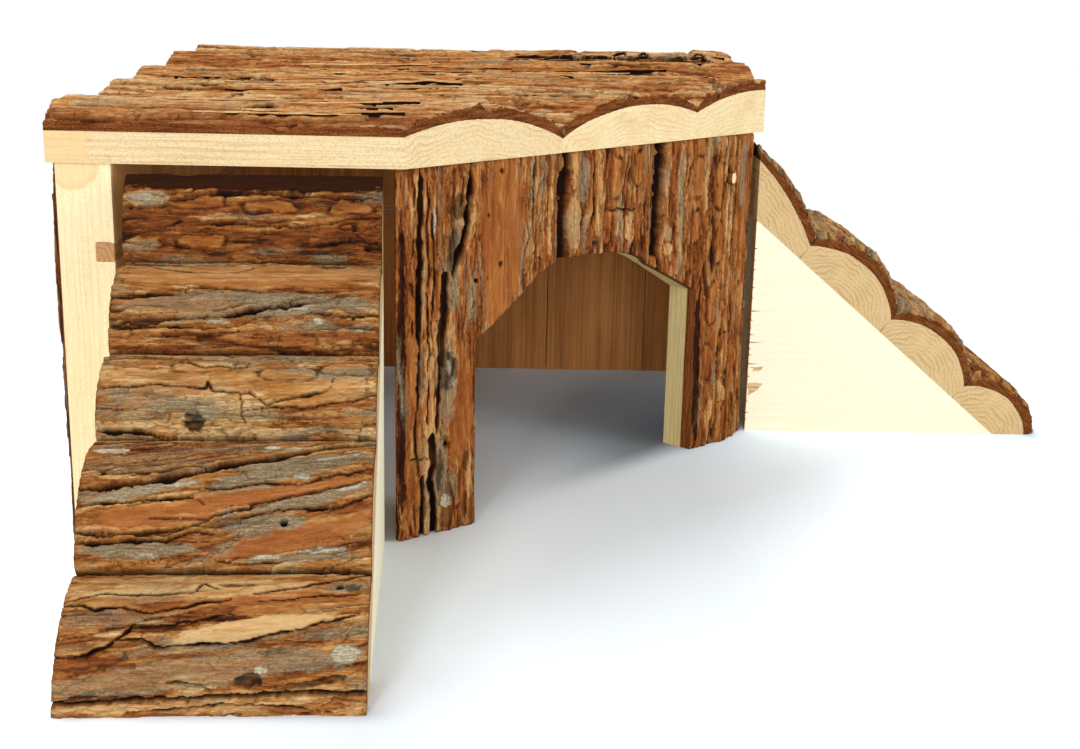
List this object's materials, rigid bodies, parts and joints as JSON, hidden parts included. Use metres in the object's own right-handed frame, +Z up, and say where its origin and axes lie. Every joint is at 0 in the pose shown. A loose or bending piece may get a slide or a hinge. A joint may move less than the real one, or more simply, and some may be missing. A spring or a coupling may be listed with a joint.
{
  "type": "hamster house",
  "caption": "Corner house for a hamster made of half-round slabs with the bark on: flat roof, arched doorway in the cut corner, and loose wedge ramps at the open sides.",
  "frame": {"origin": "on the floor, in the middle of the rectangle that the house and its two ramps cover", "axes": "+X to the right, -Y to the front, where the straight front side and its ramp are, +Z up"},
  "size_m": [0.374, 0.3844, 0.1516],
  "materials": {
    "bark_slab": "rough bark",
    "board": "sawn",
    "batten": "sawn",
    "brad": "dull"
  },
  "bodies": {
    "house": {"roof_slab_1": "bark_slab", "roof_slab_2": "bark_slab", "roof_slab_3": "bark_slab", "roof_slab_4": "bark_slab", "roof_slab_5": "bark_slab", "left_wall_slab_1": "bark_slab", "left_wall_slab_2": "bark_slab", "left_wall_slab_3": "bark_slab", "left_wall_slab_4": "bark_slab", "left_wall_slab_5": "bark_slab", "back_wall_slab_1": "bark_slab", "back_wall_slab_2": "bark_slab", "back_wall_slab_3": "bark_slab", "back_wall_slab_4": "bark_slab", "back_wall_slab_5": "bark_slab", "front_panel_slab_1": "bark_slab", "front_panel_slab_2": "bark_slab", "front_panel_slab_3": "bark_slab", "roof_batten": "batten", "left_wall_batten": "batten", "back_wall_batten": "batten", "front_panel_batten": "batten", "roof_brads": "brad", "batten_brads": "brad"},
    "front_ramp": {"front_ramp_left_board": "board", "front_ramp_right_board": "board", "front_ramp_slab_1": "bark_slab", "front_ramp_slab_2": "bark_slab", "front_ramp_slab_3": "bark_slab", "front_ramp_slab_4": "bark_slab", "front_ramp_slab_5": "bark_slab", "front_ramp_brads": "brad"},
    "right_ramp": {"right_ramp_near_board": "board", "right_ramp_far_board": "board", "right_ramp_slab_1": "bark_slab", "right_ramp_slab_2": "bark_slab", "right_ramp_slab_3": "bark_slab", "right_ramp_slab_4": "bark_slab", "right_ramp_brads": "brad"}
  },
  "joints": [
    {"name": "front_ramp_slide", "type": "slide", "parent": "house", "child": "front_ramp", "axis": [0.0419, -0.9991, 0], "range_m": [0, 0.15]},
    {"name": "right_ramp_slide", "type": "slide", "parent": "house", "child": "right_ramp", "axis": [1, 0, 0], "range_m": [0, 0.15]}
  ]
}
